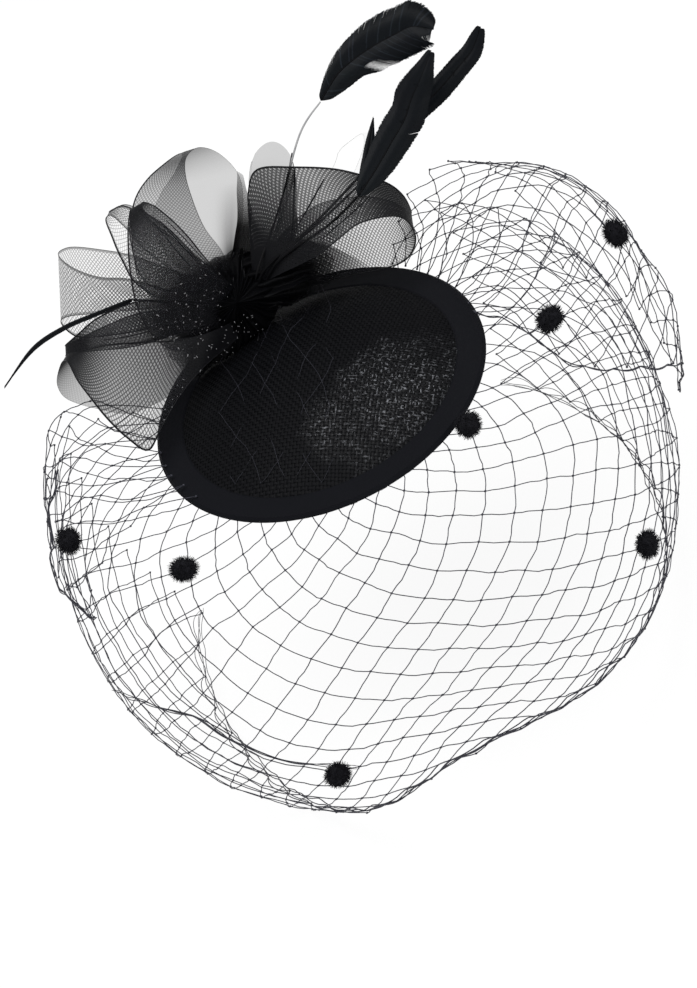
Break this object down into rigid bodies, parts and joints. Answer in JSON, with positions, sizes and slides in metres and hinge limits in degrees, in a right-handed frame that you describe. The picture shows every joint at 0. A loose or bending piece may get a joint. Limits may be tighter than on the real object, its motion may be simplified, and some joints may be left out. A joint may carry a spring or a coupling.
{
  "type": "fascinator headpiece",
  "caption": "Black fascinator headpiece: woven dome base with crin loops, feathers, a dotted net veil and spring clips underneath.",
  "frame": {"origin": "centre of the plane on which the rim's underside sits against the head", "axes": "+Z along the crown's axis away from the head, -Y to the front (the face side), +X to the wearer's left"},
  "size_m": [0.2593, 0.2297, 0.2157],
  "materials": {
    "sinamay": "satin",
    "lining_felt": "matte",
    "steel_wire": "satin",
    "binding_tape": "matte",
    "veil_net": "matte",
    "thread": "matte",
    "chenille": "matte",
    "crin": "satin",
    "feather": "satin",
    "quill": "satin",
    "clip_steel": "satin"
  },
  "bodies": {
    "headpiece": {"sinamay_base": "sinamay", "base_lining": "lining_felt", "rim_wire": "steel_wire", "edge_binding": "binding_tape", "face_veil": "veil_net", "veil_puff": "veil_net", "veil_tuck": "veil_net", "veil_stitches": "thread", "chenille_dots": "chenille", "crin_centre_wrap": "crin", "feather_binding": "thread", "crin_loop_tall": "crin", "crin_loop_front": "crin", "crin_loop_behind": "crin", "crin_loop_right": "crin", "crin_loop_right_fold": "crin", "crin_loop_low": "crin", "crin_loop_small": "crin", "crin_loop_left": "crin", "crin_loop_left_behind": "crin", "curled_vane": "feather", "long_vane": "feather", "side_vane": "feather", "spike_vane": "feather", "trailing_vane": "feather", "curled_quill": "quill", "long_quill": "quill", "side_quill": "quill", "spike_quill": "quill", "trailing_quill": "quill", "front_clip_pad": "lining_felt", "front_clip_fixed_jaw": "clip_steel", "front_clip_pin": "clip_steel", "front_clip_spring": "steel_wire", "front_clip_stitches": "thread", "back_clip_pad": "lining_felt", "back_clip_fixed_jaw": "clip_steel", "back_clip_pin": "clip_steel", "back_clip_spring": "steel_wire", "back_clip_stitches": "thread"},
    "front_clip_jaw": {"front_clip_moving_jaw": "clip_steel"},
    "back_clip_jaw": {"back_clip_moving_jaw": "clip_steel"}
  },
  "joints": [
    {"name": "front_clip_hinge", "type": "hinge", "parent": "headpiece", "child": "front_clip_jaw", "pos_m": [-0.01, -0.024, 0.0018], "axis": [0, 1, 0], "range_deg": [0, 27], "stiffness_Nm_per_rad": 0.03, "springref_deg": -17.19, "deforming": ["front_clip_spring"]},
    {"name": "back_clip_hinge", "type": "hinge", "parent": "headpiece", "child": "back_clip_jaw", "pos_m": [0.01, 0.024, 0.0018], "axis": [0, -1, 0], "range_deg": [0, 27], "stiffness_Nm_per_rad": 0.03, "springref_deg": -17.19, "deforming": ["back_clip_spring"]}
  ]
}
